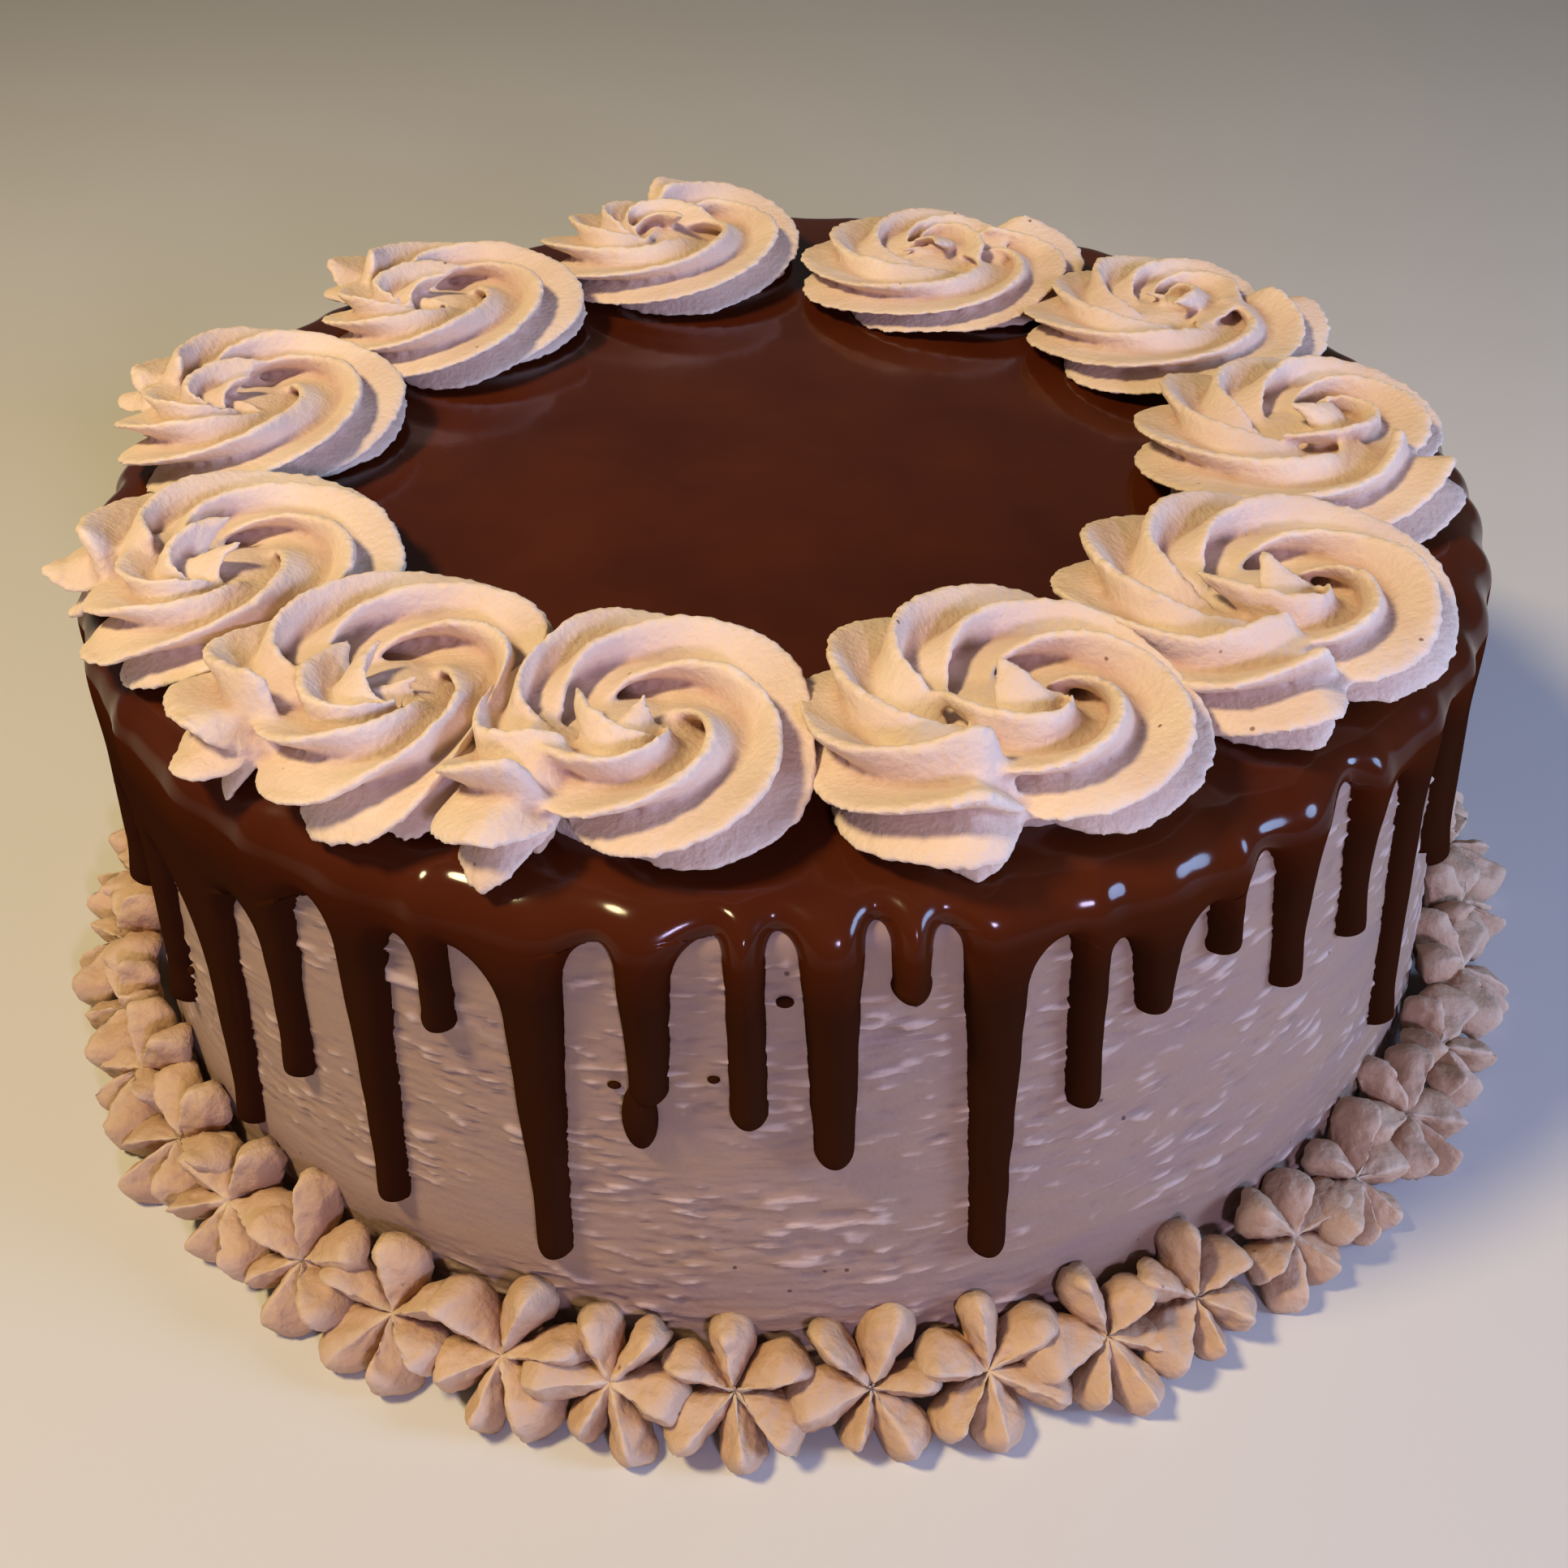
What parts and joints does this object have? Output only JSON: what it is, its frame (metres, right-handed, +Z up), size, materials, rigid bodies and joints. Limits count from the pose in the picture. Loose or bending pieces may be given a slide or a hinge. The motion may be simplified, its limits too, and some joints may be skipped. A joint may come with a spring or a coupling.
{
  "type": "layer cake",
  "caption": "Round frosted layer cake with a glossy chocolate cap that runs down in drips, piped rosettes round the top and a border of piped flowers round the foot.",
  "frame": {"origin": "middle of the cake's flat underside", "axes": "+Z up along the cake's axis; the side that faces the viewer is -Y, with +X to its right"},
  "size_m": [0.2494, 0.2502, 0.0963],
  "materials": {
    "frosting": "matte, spread with a spatula",
    "ganache": "glossy, poured",
    "piped_cream": "matte, piped",
    "border_cream": "matte, piped"
  },
  "bodies": {
    "root": {"cake_body": "frosting", "ganache": "ganache", "rosette_1": "piped_cream", "rosette_2": "piped_cream", "rosette_3": "piped_cream", "rosette_4": "piped_cream", "rosette_5": "piped_cream", "rosette_6": "piped_cream", "rosette_7": "piped_cream", "rosette_8": "piped_cream", "rosette_9": "piped_cream", "rosette_10": "piped_cream", "rosette_11": "piped_cream", "flower_1": "border_cream", "flower_2": "border_cream", "flower_3": "border_cream", "flower_4": "border_cream", "flower_5": "border_cream", "flower_6": "border_cream", "flower_7": "border_cream", "flower_8": "border_cream", "flower_9": "border_cream", "flower_10": "border_cream", "flower_11": "border_cream", "flower_12": "border_cream", "flower_13": "border_cream", "flower_14": "border_cream", "flower_15": "border_cream", "flower_16": "border_cream", "flower_17": "border_cream", "flower_18": "border_cream", "flower_19": "border_cream", "flower_20": "border_cream", "flower_21": "border_cream", "flower_22": "border_cream", "flower_23": "border_cream", "flower_24": "border_cream", "flower_25": "border_cream", "flower_26": "border_cream", "flower_27": "border_cream", "flower_28": "border_cream", "flower_29": "border_cream", "flower_30": "border_cream", "flower_31": "border_cream", "flower_32": "border_cream", "flower_33": "border_cream", "flower_34": "border_cream", "flower_35": "border_cream", "flower_36": "border_cream", "flower_37": "border_cream", "flower_38": "border_cream", "flower_39": "border_cream", "flower_40": "border_cream", "flower_41": "border_cream", "flower_42": "border_cream", "flower_43": "border_cream", "flower_44": "border_cream", "flower_45": "border_cream"}
  },
  "joints": []
}
